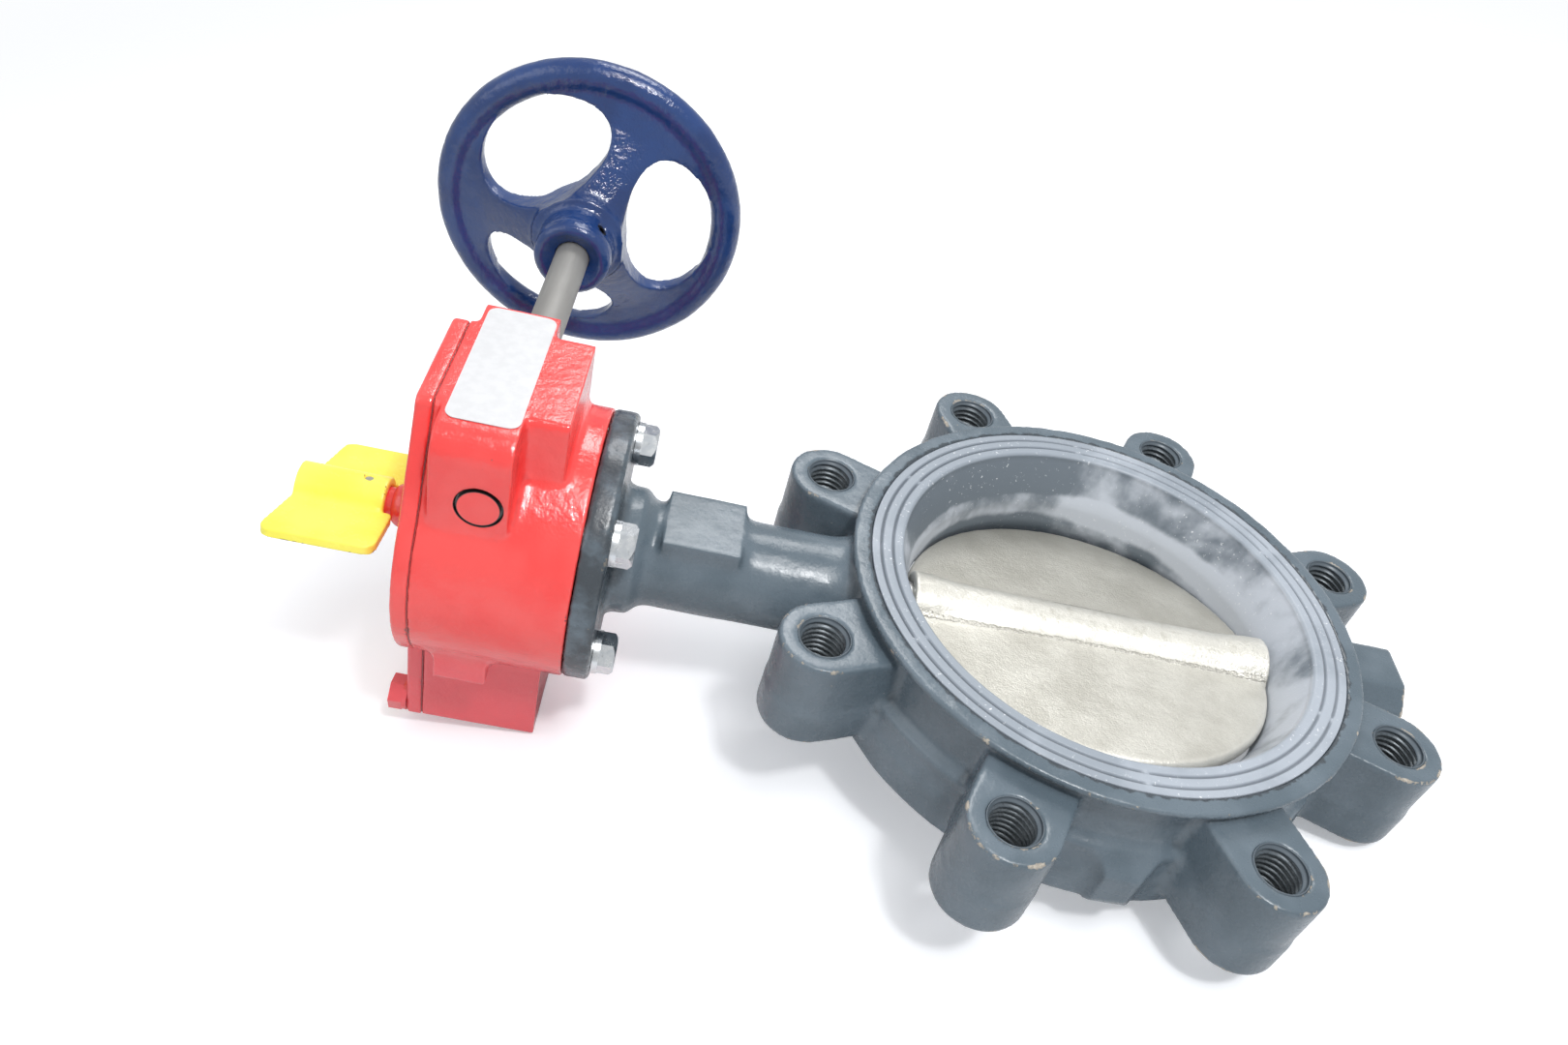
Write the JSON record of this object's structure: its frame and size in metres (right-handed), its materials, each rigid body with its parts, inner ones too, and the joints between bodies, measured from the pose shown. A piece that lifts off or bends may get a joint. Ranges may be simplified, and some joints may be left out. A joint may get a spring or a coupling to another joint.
{
  "type": "butterfly valve",
  "caption": "Lug-pattern butterfly valve with rubber seat, gear operator, blue handwheel and yellow position flag",
  "frame": {"origin": "centre of the bore, where the pipe axis crosses the stem axis", "axes": "+Z along the pipe out of the upper seat face, +X along the stem away from the gear operator, +Y towards the handwheel"},
  "size_m": [0.4468, 0.3113, 0.2078],
  "materials": {
    "body_enamel": "dark slate enamel over cast iron, chipped at the edges",
    "seat_rubber": "grey moulded rubber with a dusty bloom",
    "bronze": "plain bearing bronze",
    "black_rubber": "black seal rubber",
    "cast_nickel": "pale coating over a sand-cast surface",
    "plain_steel": "turned steel",
    "red_enamel": "bright red semi-gloss enamel over a casting",
    "zinc_plate": "zinc plate",
    "label_white": "blank white film",
    "cast_iron_bare": "machined ductile iron",
    "yellow_paint": "bright yellow paint",
    "shaft_grey": "dull grey phosphated steel",
    "blue_enamel": "thick glossy navy enamel over a rough casting",
    "dark_steel": "black oxide steel"
  },
  "bodies": {
    "root": {"valve_body": "body_enamel", "seat_liner": "seat_rubber", "upper_bushing": "bronze", "collar_bushing": "bronze", "lower_bushing": "bronze", "stem_seals": "black_rubber", "gear_housing": "red_enamel", "gear_cover": "red_enamel", "cover_gasket": "black_rubber", "cover_bolts": "red_enamel", "cover_flush_screws": "red_enamel", "flange_bolts": "zinc_plate", "lock_washers": "zinc_plate", "worm_plug": "red_enamel", "worm_bushings": "bronze", "thrust_washers": "plain_steel", "shaft_seal": "black_rubber", "label_plate": "label_white", "post_seal": "black_rubber"},
    "disc_train": {"disc": "cast_nickel", "upper_stem": "plain_steel", "lower_stem": "plain_steel", "gear_sector": "cast_iron_bare", "stem_key": "plain_steel", "indicator_post": "plain_steel", "position_flag": "yellow_paint", "flag_pin": "plain_steel"},
    "handwheel_train": {"worm": "plain_steel", "worm_pin": "plain_steel", "input_shaft": "shaft_grey", "handwheel": "blue_enamel", "wheel_set_screw": "dark_steel"}
  },
  "joints": [
    {"name": "disc_turn", "type": "hinge", "parent": "root", "child": "disc_train", "pos_m": [0, 0, 0], "axis": [1, 0, 0], "range_deg": [-80, 10]},
    {"name": "handwheel_turn", "type": "hinge", "parent": "root", "child": "handwheel_train", "pos_m": [-0.2381, 0, 0.045], "axis": [0, 1, 0], "range_deg": [-350, 2800]}
  ],
  "couplings": [
    {"joint": "handwheel_turn", "follows": "disc_turn", "ratio": -35}
  ]
}
